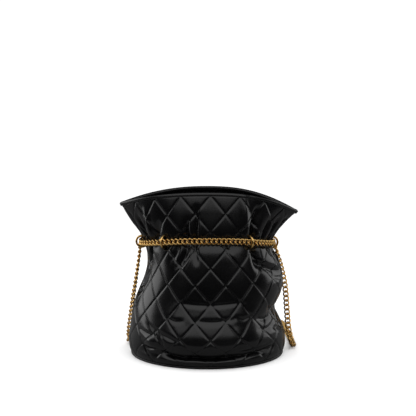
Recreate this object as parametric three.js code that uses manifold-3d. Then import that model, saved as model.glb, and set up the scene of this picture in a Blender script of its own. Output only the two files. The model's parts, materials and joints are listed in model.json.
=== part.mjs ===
// A quilted leather bucket bag with a chain drawstring, in millimetres.
// +Z is up, +X is the wearer's right when the bag faces away from them, and the front faces -Y.
// The origin is on the ground under the middle of the base.

import * as THREE from "three";
import { mergeVertices } from "three/addons/utils/BufferGeometryUtils.js";
import Module from "manifold-3d";

const wasm = await Module();
wasm.setup();

const DEG = Math.PI / 180;

// ---------------------------------------------------------------- driving sizes

// The base is an oval.
const BASE_HALF_WIDTH = 93;
const BASE_HALF_DEPTH = 81;

// Heights of the neck, where the chain runs, and of the mouth's edge.
const NECK_HEIGHT_FRONT = 142.7;
const NECK_HEIGHT_SIDE = NECK_HEIGHT_FRONT - 8.7; // the chain sags towards the sides
const NECK_HALF_WIDTH = 76;
const NECK_HALF_DEPTH = 56;
const FLARE_LENGTH = 53; // along the leather, from the neck up to the mouth
const MOUTH_HALF_WIDTH = 104;
const MOUTH_HALF_DEPTH = 45;
const MOUTH_TILT = 4.5; // the right corner hangs lower than the left one by twice this

// Layers of the wall, from the outside in.
const LEATHER = 1.6;
const WADDING = 1.3;
const LINING = 0.8;
const FACING = 1.1;
const GAP = 0.3; // kept between any two pieces that touch
const LAYER_GAP = 0.5; // between the layers of the wall, which curve two ways
const LINING_EASE = 4.6; // room for the ring tabs between the wadding and the lining

// Base.
const WELT_RADIUS = 2.2;
const WELT_SIDES = 8;
const BASE_LEATHER = 1.8;
const BOARD = 2;

// Chain: a tube as thick as the mean of the chain's width and thickness.
const CHAIN_TUBE = 6.4;
const CHAIN_SIDES = 8;

// Rings that carry the chain.
const RING_WIRE = 2.6;
const RING_BORE = CHAIN_TUBE + 4.4;
const RING_STAND_OFF = CHAIN_TUBE / 2 - 1.2; // from the leather out to the ring's centre
const RING_SWING = 12; // degrees each way; the side rings swing less, because the chain turns there
const FRONT_RING_ANGLE = 51; // degrees round the oval from the side seam

// Pocket zip, on the back lining. It is bent to the curve of the lining.
const ZIP_LENGTH = 104;
const ZIP_HEIGHT = 0.589 * NECK_HEIGHT_FRONT;
const ZIP_TAPE = 0.6;
const ZIP_WINDOW = 7.6;
const WELT_FRAME = 7;
const TOOTH_ROW = 1.1;
const TOOTH_DEPTH = 1.6;
const TOOTH_GAP = 1;
const SLIDER_LENGTH = 9;
const PULLER_LENGTH = 20;

// Slip pocket, on the front lining.
const SLIP_WIDTH = 104;
const SLIP_DEPTH = 0.364 * NECK_HEIGHT_FRONT;
const SLIP_TOP = 0.645 * NECK_HEIGHT_FRONT;
const SLIP_GAP = 2.4;
const SLIP_WALL = 0.9;

// ---------------------------------------------------------------- the shape of the wall

// Profiles of the wall up the side and up the front, as [distance from the middle, height].
// Both have the same rows: hem, belly, fold, middle, upper middle, shoulder, under the neck,
// neck, above the neck, flare and mouth.
const HEM_HEIGHT = 2 * WELT_RADIUS + GAP;
const NECK_ROW = 7;
const LAST_ROW = 10;
const FLARE_OUT = MOUTH_HALF_WIDTH - NECK_HALF_WIDTH;
const FLARE_IN = NECK_HALF_DEPTH - MOUTH_HALF_DEPTH;
// The side of the flare leans out, so it rises less than the front does.
const MOUTH_HEIGHT_SIDE = NECK_HEIGHT_SIDE + Math.sqrt(FLARE_LENGTH ** 2 - FLARE_OUT ** 2) - 2;
const MOUTH_HEIGHT_FRONT = NECK_HEIGHT_FRONT + Math.sqrt(FLARE_LENGTH ** 2 - FLARE_IN ** 2) + 1;

function profile(base, neck, mouth, neckHeight, mouthHeight, belly, flare) {
  const body = neckHeight - HEM_HEIGHT;
  const rise = mouthHeight - neckHeight;
  const taper = base - neck;
  return [
    [base, HEM_HEIGHT],
    [base + 2 * belly, HEM_HEIGHT + 0.08 * body],
    [base + belly, HEM_HEIGHT + 0.2 * body],
    [base - 0.2 * taper, HEM_HEIGHT + 0.4 * body],
    [base - 0.42 * taper, HEM_HEIGHT + 0.6 * body],
    [base - 0.76 * taper, HEM_HEIGHT + 0.79 * body],
    [neck + 0.03 * taper, HEM_HEIGHT + 0.93 * body],
    [neck, neckHeight],
    [neck + flare[0] * (mouth - neck), neckHeight + 0.26 * rise],
    [neck + flare[1] * (mouth - neck), neckHeight + 0.6 * rise],
    [mouth, mouthHeight],
  ];
}

function profileCurve(rows) {
  return new THREE.CatmullRomCurve3(
    rows.map(([reach, height]) => new THREE.Vector3(reach, 0, height)),
  );
}

const SIDE = profileCurve(
  profile(BASE_HALF_WIDTH, NECK_HALF_WIDTH, MOUTH_HALF_WIDTH, NECK_HEIGHT_SIDE, MOUTH_HEIGHT_SIDE,
    0.8, [0.3, 0.72]),
);
const FRONT = profileCurve(
  profile(BASE_HALF_DEPTH, NECK_HALF_DEPTH, MOUTH_HALF_DEPTH, NECK_HEIGHT_FRONT,
    MOUTH_HEIGHT_FRONT, 0.8, [0.05, 0.35]),
);

// The lining hangs straighter than the leather, and its back is upright where the zip is.
const LINING_INSET = LEATHER + WADDING + 2 * LAYER_GAP + LINING_EASE;
const SIDE_TAPER = BASE_HALF_WIDTH - NECK_HALF_WIDTH;
const LINING_SIDE = profileCurve([
  [BASE_HALF_WIDTH - 5, HEM_HEIGHT + 1.4],
  [BASE_HALF_WIDTH - 7, 0.15 * NECK_HEIGHT_SIDE],
  [BASE_HALF_WIDTH - 0.2 * SIDE_TAPER - 7.6, 0.4 * NECK_HEIGHT_SIDE],
  [BASE_HALF_WIDTH - 0.42 * SIDE_TAPER - 6.9, 0.58 * NECK_HEIGHT_SIDE],
  [NECK_HALF_WIDTH - LINING_INSET + 2, 0.86 * NECK_HEIGHT_SIDE],
  [NECK_HALF_WIDTH - LINING_INSET, NECK_HEIGHT_SIDE],
  [NECK_HALF_WIDTH - LINING_INSET + 2, NECK_HEIGHT_SIDE + 9],
]);
const UPRIGHT_INSET = 23; // of the upright part, from the edge of the base
const LINING_BACK = profileCurve([
  [BASE_HALF_DEPTH - 5, HEM_HEIGHT + 1.4],
  [BASE_HALF_DEPTH - 19, 0.12 * NECK_HEIGHT_FRONT],
  [BASE_HALF_DEPTH - UPRIGHT_INSET, 0.26 * NECK_HEIGHT_FRONT],
  [BASE_HALF_DEPTH - UPRIGHT_INSET, 0.5 * NECK_HEIGHT_FRONT],
  [BASE_HALF_DEPTH - UPRIGHT_INSET, 0.72 * NECK_HEIGHT_FRONT],
  [NECK_HALF_DEPTH - LINING_INSET, NECK_HEIGHT_FRONT],
  [NECK_HALF_DEPTH - LINING_INSET - 0.4, NECK_HEIGHT_FRONT + 9],
]);

// How much longer a level step is than a square one, where the profile leans.
function leanFactor(curve, t) {
  return 1 / Math.max(0.5, Math.abs(curve.getTangent(t).z));
}

// A point of a wall: angle round the oval, t from 0 at the hem to 1 at the top, set in by inset.
function ovalPoint(side, front, angle, t, inset) {
  const s = side.getPoint(t);
  const f = front.getPoint(t);
  const share = Math.abs(Math.cos(angle)) ** 2.4;
  return new THREE.Vector3(
    (s.x - inset * leanFactor(side, t)) * Math.cos(angle),
    (f.x - inset * leanFactor(front, t)) * Math.sin(angle),
    s.z * share + f.z * (1 - share) - MOUTH_TILT * Math.cos(angle) ** 3 * Math.max(0, t) ** 6,
  );
}

const wallPoint = (angle, t, inset) => ovalPoint(SIDE, FRONT, angle, t, inset);
const liningPoint = (angle, t, inset) => ovalPoint(LINING_SIDE, LINING_BACK, angle, t, inset);
const NECK = NECK_ROW / LAST_ROW;

// ---------------------------------------------------------------- helpers

const root = new THREE.Group();

function leatherBlack(roughness = 0.45) {
  return new THREE.MeshStandardMaterial({ color: 0x101012, roughness, metalness: 0 });
}
function fabricBlack() {
  return new THREE.MeshStandardMaterial({ color: 0x17171a, roughness: 0.85, metalness: 0 });
}
function wadding() {
  return new THREE.MeshStandardMaterial({ color: 0xd8d4c8, roughness: 0.95, metalness: 0 });
}
function board() {
  return new THREE.MeshStandardMaterial({ color: 0x6b5a45, roughness: 0.9, metalness: 0 });
}
function goldMetal() {
  return new THREE.MeshStandardMaterial({ color: 0xc79a4e, roughness: 0.3, metalness: 1 });
}

// Adds a mesh to the bag, or to a group of it.
function add(name, geometry, material, parent = root) {
  const mesh = new THREE.Mesh(geometry, material);
  mesh.name = name;
  parent.add(mesh);
  return mesh;
}

// A geometry with only its places, and its shared vertices merged.
function bare(geometry) {
  const copy = geometry.clone();
  copy.deleteAttribute("normal");
  copy.deleteAttribute("uv");
  return mergeVertices(copy, 1e-4);
}

// Moves every vertex of a geometry, as bending a block into a shell does.
function reshape(geometry, place) {
  const made = bare(geometry);
  const position = made.getAttribute("position");
  const at = new THREE.Vector3();
  for (let i = 0; i < position.count; i++) {
    place(at.fromBufferAttribute(position, i));
    position.setXYZ(i, at.x, at.y, at.z);
  }
  made.computeVertexNormals();
  return made;
}

function toSolid(geometry) {
  const merged = bare(geometry);
  return new wasm.Manifold(
    new wasm.Mesh({
      numProp: 3,
      vertProperties: new Float32Array(merged.getAttribute("position").array),
      triVerts: new Uint32Array(merged.index.array),
    }),
  );
}

function toGeometry(solid) {
  const mesh = solid.getMesh();
  const made = new THREE.BufferGeometry();
  made.setAttribute("position", new THREE.BufferAttribute(mesh.vertProperties, 3));
  made.setIndex(new THREE.BufferAttribute(mesh.triVerts, 1));
  made.computeVertexNormals();
  return made;
}

function cut(geometry, cutters) {
  return toGeometry(cutters.reduce((solid, c) => solid.subtract(toSolid(c)), toSolid(geometry)));
}

function join(geometries) {
  return toGeometry(geometries.map(toSolid).reduce((a, b) => a.add(b)));
}

// A thin shell over half of a wall, along the listed rows and between two insets.
function shell(point, half, rows, outer, inner) {
  const block = new THREE.BoxGeometry(1, 1, 1, COLUMNS, 1, rows.length - 1);
  return reshape(block, (p) => {
    const angle = THREE.MathUtils.lerp(...half, p.x + 0.5);
    const row = rows[Math.round((p.z + 0.5) * (rows.length - 1))];
    const inset = THREE.MathUtils.lerp(outer, inner, p.y + 0.5);
    p.copy(point(angle, row, inset));
  });
}

// A ring of constant section that runs all round an oval wall.
function ovalRing(section, segments, place) {
  const turned = new THREE.LatheGeometry(section, segments);
  return reshape(turned, (p) => {
    const angle = Math.atan2(-p.z, p.x);
    const reach = Math.hypot(p.x, p.z);
    p.copy(place(angle, reach, p.y));
  });
}

// A flat piece bent round an upright axis at (0, centreY).
function arcStrip(centreY, inner, outer, low, high, fromAngle, toAngle) {
  const shape = new THREE.Shape();
  shape.absarc(0, 0, outer, fromAngle, toAngle, false);
  shape.absarc(0, 0, inner, toAngle, fromAngle, true);
  shape.closePath();
  const steps = Math.max(2, Math.ceil((toAngle - fromAngle) / (6 * DEG)));
  const made = new THREE.ExtrudeGeometry(shape, {
    depth: high - low,
    bevelEnabled: false,
    curveSegments: steps,
  });
  return made.translate(0, centreY, low);
}

// A tube along a curve.
function tube(curve, steps) {
  const section = new THREE.Shape();
  section.absarc(0, 0, CHAIN_TUBE / 2, 0, 2 * Math.PI, false);
  return new THREE.ExtrudeGeometry(section, {
    steps,
    extrudePath: curve,
    curveSegments: CHAIN_SIDES / 2,
    bevelEnabled: false,
  });
}

// ---------------------------------------------------------------- ring stations round the neck

const STATIONS = {
  right: 0,
  back_right: FRONT_RING_ANGLE,
  back_left: 180 - FRONT_RING_ANGLE,
  left: 180,
  front_left: 180 + FRONT_RING_ANGLE,
  front_right: 360 - FRONT_RING_ANGLE,
};

const RING_MID = (RING_BORE + RING_WIRE) / 2; // radius of the ring's centre line
const PIVOT_INSET = RING_MID - RING_STAND_OFF; // of the ring's inner side, behind the leather
const TAB_HEIGHT = 4;
const TAB_BORE = RING_WIRE / 2 + 0.55;
const TAB_WALL = 0.75;
const TAB_OUTER = TAB_BORE + TAB_WALL;
const TAB_HALF_LENGTH = 6.5;
const TAB_EASE = 1.15; // from the wadding in to the tab's flat ends, which lie across a curve

// A group on the leather at a station: its x points out, its y along the neck, its z up.
function stationGroup(angle) {
  const at = wallPoint(angle, NECK, 0);
  const outward = Math.atan2(NECK_HALF_WIDTH * Math.sin(angle), NECK_HALF_DEPTH * Math.cos(angle));
  const group = new THREE.Group();
  group.position.copy(at);
  group.rotation.z = outward;
  group.updateMatrixWorld(true);
  return group;
}

// The slits that let the rings through a layer of the wall.
function slits(width) {
  return Object.values(STATIONS).map((degrees) => {
    const group = stationGroup(degrees * DEG);
    const height = RING_BORE + 2 * RING_WIRE + 3;
    return new THREE.BoxGeometry(30, width, height).applyMatrix4(group.matrixWorld);
  });
}

// ---------------------------------------------------------------- the wall

const SEAM = GAP / 2 / NECK_HALF_WIDTH; // half the gap at a side seam, as an angle
const HALVES = {
  front: [Math.PI + SEAM, 2 * Math.PI - SEAM],
  back: [SEAM, Math.PI - SEAM],
};
const COLUMNS = 16;
const BODY_ROWS = [0, 0.1, 0.2, 0.3, 0.4, 0.5, 0.6, 0.65, NECK, 0.75];
const FACING_ROWS = [0.8, 0.85, 0.9, 0.95, 1]; // where the facing takes over from the lining
const WALL_ROWS = [...BODY_ROWS, ...FACING_ROWS];
const SWING_ROOM = 2 * (PIVOT_INSET + 0.5) * Math.sin(RING_SWING * DEG);
const LEATHER_SLIT = RING_WIRE + SWING_ROOM + 2 * GAP;
const WADDING_OUTER = LEATHER + LAYER_GAP;
const WADDING_INNER = WADDING_OUTER + WADDING;

function makeWall() {
  for (const [side, half] of Object.entries(HALVES)) {
    const panel = shell(wallPoint, half, WALL_ROWS, 0, LEATHER);
    add(`panel_${side}`, cut(panel, slits(LEATHER_SLIT)), leatherBlack());
    const pad = shell(wallPoint, half, WALL_ROWS, WADDING_OUTER, WADDING_INNER);
    add(`wadding_${side}`, cut(pad, slits(2 * (TAB_OUTER + GAP))), wadding());
  }
}

// ---------------------------------------------------------------- the mouth

const FACING_OUTER = WADDING_INNER + LAYER_GAP;
const BINDING_WALL = 1;
const BINDING_DEPTH = 4;

function makeMouth() {
  for (const [side, half] of Object.entries(HALVES)) {
    const facing = shell(wallPoint, half, FACING_ROWS, FACING_OUTER, FACING_OUTER + FACING);
    add(`facing_${side}`, facing, leatherBlack(0.4));
  }
  // The binding is a folded strip over the top edges of the leather, the wadding and the facing.
  const inner = FACING_OUTER + FACING + LAYER_GAP;
  const section = [
    [-inner - BINDING_WALL, -BINDING_DEPTH],
    [-inner, -BINDING_DEPTH],
    [-inner, GAP],
    [LAYER_GAP, GAP],
    [LAYER_GAP, -BINDING_DEPTH],
    [LAYER_GAP + BINDING_WALL, -BINDING_DEPTH],
    [LAYER_GAP + BINDING_WALL, GAP + BINDING_WALL],
    [-inner - BINDING_WALL, GAP + BINDING_WALL],
    [-inner - BINDING_WALL, -BINDING_DEPTH],
  ].map(([out, up]) => new THREE.Vector2(MOUTH_HALF_WIDTH + out, up));
  const binding = ovalRing(section, 2 * COLUMNS, (angle, reach, up) => {
    const out = reach - MOUTH_HALF_WIDTH;
    const edge = wallPoint(angle, 1, -out);
    if (up > 0) return edge.setZ(edge.z + up);
    return wallPoint(angle, rowAtHeight(wallPoint, angle, edge.z + up), -out);
  });
  add("rim_binding", binding, leatherBlack(0.4));
}

// The row of a wall that is at a given height.
function rowAtHeight(point, angle, height) {
  let low = 0;
  let high = 1;
  for (let i = 0; i < 30; i++) {
    const middle = (low + high) / 2;
    if (point(angle, middle, 0).z > height) high = middle;
    else low = middle;
  }
  return low;
}

// ---------------------------------------------------------------- the base

function ovalSlab(name, halfWidth, halfDepth, low, high, material) {
  const oval = new THREE.Shape();
  oval.absellipse(0, 0, halfWidth, halfDepth, 0, 2 * Math.PI, false, 0);
  const slab = new THREE.ExtrudeGeometry(oval, {
    depth: high - low,
    bevelEnabled: false,
    curveSegments: 24,
  });
  add(name, slab.translate(0, 0, low), material);
}

function makeBase() {
  const section = [];
  for (let i = 0; i <= WELT_SIDES; i++) {
    const turn = (i / WELT_SIDES) * 2 * Math.PI;
    section.push(new THREE.Vector2(
      BASE_HALF_WIDTH - LEATHER / 2 + WELT_RADIUS * Math.cos(turn),
      WELT_RADIUS + WELT_RADIUS * Math.sin(turn),
    ));
  }
  const narrower = BASE_HALF_WIDTH - BASE_HALF_DEPTH;
  const welt = ovalRing(section, 48, (angle, reach, up) => new THREE.Vector3(
    reach * Math.cos(angle),
    (reach - narrower) * Math.sin(angle),
    up,
  ));
  add("base_welt", welt, leatherBlack());

  const inset = LEATHER / 2 + WELT_RADIUS + GAP;
  const halfWidth = BASE_HALF_WIDTH - inset;
  const halfDepth = BASE_HALF_DEPTH - inset;
  ovalSlab("base_panel", halfWidth, halfDepth, 0, BASE_LEATHER, leatherBlack());
  const boardLow = BASE_LEATHER + GAP;
  ovalSlab("base_board", halfWidth - 1, halfDepth - 1, boardLow, boardLow + BOARD, board());
  const liningLow = boardLow + BOARD + GAP;
  ovalSlab("lining_base", halfWidth - 2, halfDepth - 2, liningLow, liningLow + LINING,
    fabricBlack());
}

// ---------------------------------------------------------------- the pockets' curved places

// Each pocket lies on a circle that follows the lining over the pocket's width.
function liningCircle(height, halfWidth) {
  const row = rowAtHeight(liningPoint, Math.PI / 2, height);
  const deep = LINING_BACK.getPoint(row).x - LINING;
  const wide = LINING_SIDE.getPoint(row).x - LINING;
  const drop = deep * (1 - Math.sqrt(1 - (halfWidth / wide) ** 2));
  const radius = (halfWidth ** 2 + drop ** 2) / (2 * drop);
  // How far the circle and the lining part from each other along that width.
  let misfit = 0;
  for (let x = 0; x <= halfWidth + 3; x += 2) {
    const lining = deep * Math.sqrt(1 - (x / wide) ** 2);
    const circle = deep - radius + Math.sqrt(radius ** 2 - x ** 2);
    misfit = Math.max(misfit, Math.abs(circle - lining));
  }
  return { radius, centreY: deep - radius, room: Math.max(1.1, misfit + GAP) };
}

// ---------------------------------------------------------------- the zip pocket

const ZIP = liningCircle(ZIP_HEIGHT, ZIP_LENGTH / 2);
const ZIP_FACE = ZIP.radius - ZIP.room; // clear of the lining, which isn't quite a circle
const zipSpan = (length) => [
  Math.PI / 2 - length / 2 / ZIP_FACE,
  Math.PI / 2 + length / 2 / ZIP_FACE,
];
const TOOTH_INNER = ZIP_FACE - TOOTH_DEPTH;

function makeZip() {
  const strip = (inner, outer, low, high, length) =>
    arcStrip(ZIP.centreY, inner, outer, ZIP_HEIGHT + low, ZIP_HEIGHT + high, ...zipSpan(length));

  const tapeLow = TOOTH_GAP / 2 + TOOTH_ROW + GAP;
  const tapeHigh = ZIP_WINDOW / 2 + WELT_FRAME - 2;
  for (const [name, sign] of [["upper", 1], ["lower", -1]]) {
    const [low, high] = sign > 0 ? [tapeLow, tapeHigh] : [-tapeHigh, -tapeLow];
    const tape = strip(ZIP_FACE - ZIP_TAPE, ZIP_FACE, low, high, ZIP_LENGTH + 6);
    add(`zip_tape_${name}`, tape, fabricBlack());
    const inner = TOOTH_GAP / 2;
    const outer = inner + TOOTH_ROW;
    const [toothLow, toothHigh] = sign > 0 ? [inner, outer] : [-outer, -inner];
    const row = strip(TOOTH_INNER, ZIP_FACE, toothLow, toothHigh, ZIP_LENGTH);
    add(`zip_teeth_${name}`, row, goldMetal());
  }

  const frameOuter = ZIP_FACE - ZIP_TAPE - GAP;
  const frameHalf = ZIP_WINDOW / 2 + WELT_FRAME;
  const blank = strip(frameOuter - 1, frameOuter, -frameHalf, frameHalf, ZIP_LENGTH + 16);
  const window = strip(frameOuter - 3, frameOuter + 3, -ZIP_WINDOW / 2, ZIP_WINDOW / 2,
    ZIP_LENGTH + 2);
  add("zip_frame", cut(blank, [window]), leatherBlack(0.4));

  const stopHalf = TOOTH_GAP / 2 + TOOTH_ROW;
  for (const [name, sign] of [["left", 1], ["right", -1]]) {
    const middle = Math.PI / 2 + (sign * (ZIP_LENGTH / 2 + 0.6)) / ZIP_FACE;
    const stop = arcStrip(ZIP.centreY, TOOTH_INNER, ZIP_FACE, ZIP_HEIGHT - stopHalf,
      ZIP_HEIGHT + stopHalf, middle - 0.3 / ZIP_FACE, middle + 0.3 / ZIP_FACE);
    add(`zip_stop_${name}`, stop, goldMetal());
  }
}

const SLIDER_PLATE = 0.9;
const SLIDER_HALF_HEIGHT = 3;
const PIN_RADIUS = 0.7;
const PIN_REACH = 1.9; // from the slider's plate in to the pin's axis

// The slider starts at the left stop. It is built round the middle of the zip and then turned.
const SLIDER_START = Math.PI / 2 + (ZIP_LENGTH / 2 - SLIDER_LENGTH / 2 - 1) / ZIP_FACE;

function makeSlider() {
  const half = SLIDER_LENGTH / 2 / ZIP_FACE;
  const from = SLIDER_START - half;
  const to = SLIDER_START + half;
  const plate = (inner, low, high, a = from, b = to, thick = SLIDER_PLATE) =>
    arcStrip(ZIP.centreY, inner, inner + thick, ZIP_HEIGHT + low, ZIP_HEIGHT + high, a, b);
  const frontInner = TOOTH_INNER - GAP - SLIDER_PLATE;
  const backInner = ZIP_FACE + GAP;
  const bridge = backInner + SLIDER_PLATE - frontInner;
  // The lug is two upright ears with a pin between them.
  const reach = PIN_REACH + PIN_RADIUS + 0.6;
  const pinHeight = SLIDER_HALF_HEIGHT + 0.2;
  const ear = (sign) => {
    const low = sign > 0 ? pinHeight - 1 : -pinHeight;
    return plate(frontInner - reach, low, low + 1, SLIDER_START - 1.4 / ZIP_FACE,
      SLIDER_START + 1.4 / ZIP_FACE, reach + 0.2);
  };
  const pin = new THREE.CylinderGeometry(PIN_RADIUS, PIN_RADIUS, 2 * pinHeight - 0.4, 12);
  pin.rotateX(Math.PI / 2).translate(...pinPlace());
  const body = join([
    plate(frontInner, -SLIDER_HALF_HEIGHT - 0.2, SLIDER_HALF_HEIGHT + 0.2),
    plate(backInner, -SLIDER_HALF_HEIGHT, SLIDER_HALF_HEIGHT),
    plate(frontInner, -0.2, 0.2, from, to, bridge),
    ear(1),
    ear(-1),
    pin,
  ]);
  add("zip_slider", body, goldMetal());
}

// The middle of the slider's pin.
function pinPlace() {
  const radius = TOOTH_INNER - GAP - SLIDER_PLATE - PIN_REACH;
  return [
    radius * Math.cos(SLIDER_START),
    ZIP.centreY + radius * Math.sin(SLIDER_START),
    ZIP_HEIGHT,
  ];
}

// The puller lies along the zip and turns about the slider's pin.
function makePuller() {
  const eye = PIN_RADIUS + 0.25;
  const outline = new THREE.Shape();
  outline.absarc(0, 0, eye + 0.7, 0.5 * Math.PI, 1.5 * Math.PI, false);
  outline.lineTo(PULLER_LENGTH, -eye - 0.3);
  outline.lineTo(PULLER_LENGTH, eye + 0.3);
  outline.closePath();
  const hole = new THREE.Path();
  hole.absarc(0, 0, eye, 0, 2 * Math.PI, true);
  outline.holes.push(hole);
  const puller = new THREE.ExtrudeGeometry(outline, {
    depth: 3.6,
    bevelEnabled: false,
    curveSegments: 8,
  });
  puller.translate(0, 0, -1.8);
  const group = new THREE.Group();
  group.position.set(...pinPlace());
  group.rotation.z = SLIDER_START - Math.PI / 2 - 12 * DEG;
  root.add(group);
  add("zip_puller", puller, goldMetal(), group);
}

// The pocket's bag hangs behind the lining, from the zip down.
const POCKET_DROP = 0.336 * NECK_HEIGHT_FRONT;
const POCKET_THICK = 2.4;

function makePocketBag() {
  const outer = ZIP.radius + LINING + GAP + 0.1 + ZIP.room + POCKET_THICK;
  const bag = arcStrip(ZIP.centreY, outer - POCKET_THICK, outer, ZIP_HEIGHT - POCKET_DROP,
    ZIP_HEIGHT + 8, ...zipSpan(ZIP_LENGTH - 24));
  add("zip_pocket_bag", bag, fabricBlack());
}

// ---------------------------------------------------------------- the lining and slip pocket

const LINING_ROWS = [0, 0.1, 0.2, 0.3, 0.4, 0.5, 0.6, 0.7, 0.8, 0.9, 1];

function makeLining() {
  const zipSlot = arcStrip(ZIP.centreY, ZIP.radius - 12, ZIP.radius + 12,
    ZIP_HEIGHT - ZIP_WINDOW / 2 - 0.6, ZIP_HEIGHT + ZIP_WINDOW / 2 + 0.6,
    ...zipSpan(ZIP_LENGTH + 2));
  for (const [side, half] of Object.entries(HALVES)) {
    const lining = shell(liningPoint, half, LINING_ROWS, 0, LINING);
    add(`lining_${side}`, side === "back" ? cut(lining, [zipSlot]) : lining, fabricBlack());
  }
}

function makeSlipPocket() {
  const circle = liningCircle(SLIP_TOP, SLIP_WIDTH / 2);
  const face = circle.radius - circle.room;
  const span = (length) => [-Math.PI / 2 - length / 2 / face, -Math.PI / 2 + length / 2 / face];
  const low = SLIP_TOP - SLIP_DEPTH;
  const strip = (inner, outer, from, to, angles) =>
    arcStrip(-circle.centreY, inner, outer, from, to, ...angles);
  const plateInner = face - SLIP_GAP - SLIP_WALL;
  const [left, right] = span(SLIP_WIDTH);
  const flange = 4 / face;
  const pocket = join([
    strip(plateInner, plateInner + SLIP_WALL, low, SLIP_TOP, [left, right]),
    strip(plateInner, face, low, low + 3, [left, right]),
    strip(plateInner, face, low, SLIP_TOP, [left, left + flange]),
    strip(plateInner, face, low, SLIP_TOP, [right - flange, right]),
  ]);
  add("slip_pocket", pocket, fabricBlack());
  const binding = strip(plateInner - GAP - 0.8, plateInner - GAP, SLIP_TOP - 8, SLIP_TOP + 0.6,
    [left + flange / 2, right - flange / 2]);
  add("slip_pocket_binding", binding, leatherBlack(0.4));
}

// ---------------------------------------------------------------- rings and tabs

// The tab is a strip folded round the ring's inner side, with its two ends sewn to the wall.
function tabShape() {
  const wingInner = PIVOT_INSET - WADDING_INNER - TAB_EASE - TAB_WALL;
  const wingOuter = wingInner + TAB_WALL;
  const innerTurn = Math.acos(wingInner / TAB_OUTER);
  const outerTurn = Math.acos(wingOuter / TAB_OUTER);
  const shape = new THREE.Shape();
  shape.absarc(0, 0, TAB_OUTER, innerTurn, 2 * Math.PI - innerTurn, false);
  shape.lineTo(wingInner, -TAB_HALF_LENGTH);
  shape.lineTo(wingOuter, -TAB_HALF_LENGTH);
  shape.absarc(0, 0, TAB_OUTER, -outerTurn, outerTurn, false);
  shape.lineTo(wingOuter, TAB_HALF_LENGTH);
  shape.lineTo(wingInner, TAB_HALF_LENGTH);
  shape.closePath();
  const hole = new THREE.Path();
  hole.absarc(0, 0, TAB_BORE, 0, 2 * Math.PI, true);
  shape.holes.push(hole);
  return shape;
}

function makeRings() {
  for (const [name, degrees] of Object.entries(STATIONS)) {
    const group = stationGroup(degrees * DEG);
    root.add(group);
    const ring = new THREE.TorusGeometry(RING_MID, RING_WIRE / 2, 8, 20);
    ring.rotateX(Math.PI / 2).translate(RING_STAND_OFF, 0, 0);
    add(`ring_${name}`, ring, goldMetal(), group);
    const tab = new THREE.ExtrudeGeometry(tabShape(), {
      depth: TAB_HEIGHT,
      bevelEnabled: false,
      curveSegments: 6,
    });
    tab.translate(-PIVOT_INSET, 0, -TAB_HEIGHT / 2);
    add(`tab_${name}`, tab, leatherBlack(), group);
  }
}

// ---------------------------------------------------------------- the chain

const CHAIN_STAND_OFF = CHAIN_TUBE / 2 + 0.6; // from the leather out to the chain's centre

// The chain's run round the neck, between two angles.
function neckRun(fromAngle, toAngle) {
  const points = [];
  const count = 16;
  for (let i = 0; i <= count; i++) {
    const angle = THREE.MathUtils.lerp(fromAngle, toAngle, i / count);
    points.push(wallPoint(angle, NECK, -CHAIN_STAND_OFF));
  }
  return new THREE.CatmullRomCurve3(points);
}

// The free part of the chain: down from the left ring, in loose folds on the ground behind the
// bag, and up to the right ring. It is laid out for a bag of these sizes.
const LAID_OUT_FOR = { base: 93, neck: 76, height: 134, ground: 3.4, tube: 6.4 };
const STRAP_POINTS = [
  [-79.9, 0.9, 134.4], [-80, 6.4, 134], [-81.1, 11.4, 127.6], [-82.8, 12.6, 114],
  [-87, 15.4, 87], [-91.3, 19.2, 62], [-94.8, 23, 38], [-97.4, 27.4, 18],
  [-98.4, 34, 6.4], [-96, 45, 3.4], [-90, 64, 3.4], [-79, 86, 3.4],
  [-60, 103, 3.4], [-32, 107, 3.4], [6, 102, 3.4], [40, 106, 3.4],
  [59, 117, 3.4], [57, 133, 3.4], [36, 141, 3.4], [-4, 137, 3.4],
  [-40, 142, 3.4], [-57, 153, 3.4], [-53, 168, 3.4], [-32, 176, 3.4],
  [10, 170, 3.4], [52, 173, 3.4], [80, 169, 3.4], [98, 153, 3.4],
  [103.6, 128, 3.4], [104.8, 96, 3.4], [106, 50, 3.4], [106, 16, 4],
  [103, 2.6, 10.4], [99, 1.4, 27], [97, 4.4, 50], [94.8, 8, 79],
  [89.6, 11.4, 105], [83.6, 12, 124], [80.2, 6.4, 133], [79.9, 0.9, 133.4],
];

// A point of the strap, moved out and up with the bag's own sizes.
function strapPoint([x, y, z]) {
  const high = (z - LAID_OUT_FOR.ground) / (LAID_OUT_FOR.height - LAID_OUT_FOR.ground);
  const thicker = (CHAIN_TUBE - LAID_OUT_FOR.tube) / 2;
  const atNeck = NECK_HALF_WIDTH - LAID_OUT_FOR.neck + thicker;
  const atBase = BASE_HALF_WIDTH - LAID_OUT_FOR.base + thicker;
  const taken = Math.min(1, high) ** 2.4; // the wall stays wide to above its middle
  const wider = taken * atNeck + (1 - taken) * atBase;
  const drop = Math.min(1, high / 0.9) * (LAID_OUT_FOR.height - NECK_HEIGHT_SIDE);
  const lift = (1 - high) * thicker - drop;
  return new THREE.Vector3(x + Math.sign(x) * wider, y, z + lift);
}

function makeChain() {
  // The front run ends inside the side rings, where the free part begins.
  const seam = 0.6 / (NECK_HALF_WIDTH + CHAIN_STAND_OFF);
  const front = neckRun(Math.PI + seam, 2 * Math.PI - seam);
  add("neck_chain_front", tube(front, 36), goldMetal());
  // The back run ends short of the side rings, where its end links hook on.
  const end = 1.72 * CHAIN_TUBE / (NECK_HALF_DEPTH + CHAIN_STAND_OFF);
  add("neck_chain_back", tube(neckRun(end, Math.PI - end), 32), goldMetal());
  add("strap_chain", tube(new THREE.CatmullRomCurve3(STRAP_POINTS.map(strapPoint)), 80), goldMetal());
}

// ---------------------------------------------------------------- the bag

makeWall();
makeMouth();
makeBase();
makeLining();
makeZip();
makeSlider();
makePuller();
makePocketBag();
makeSlipPocket();
makeRings();
makeChain();

export default root;
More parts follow.
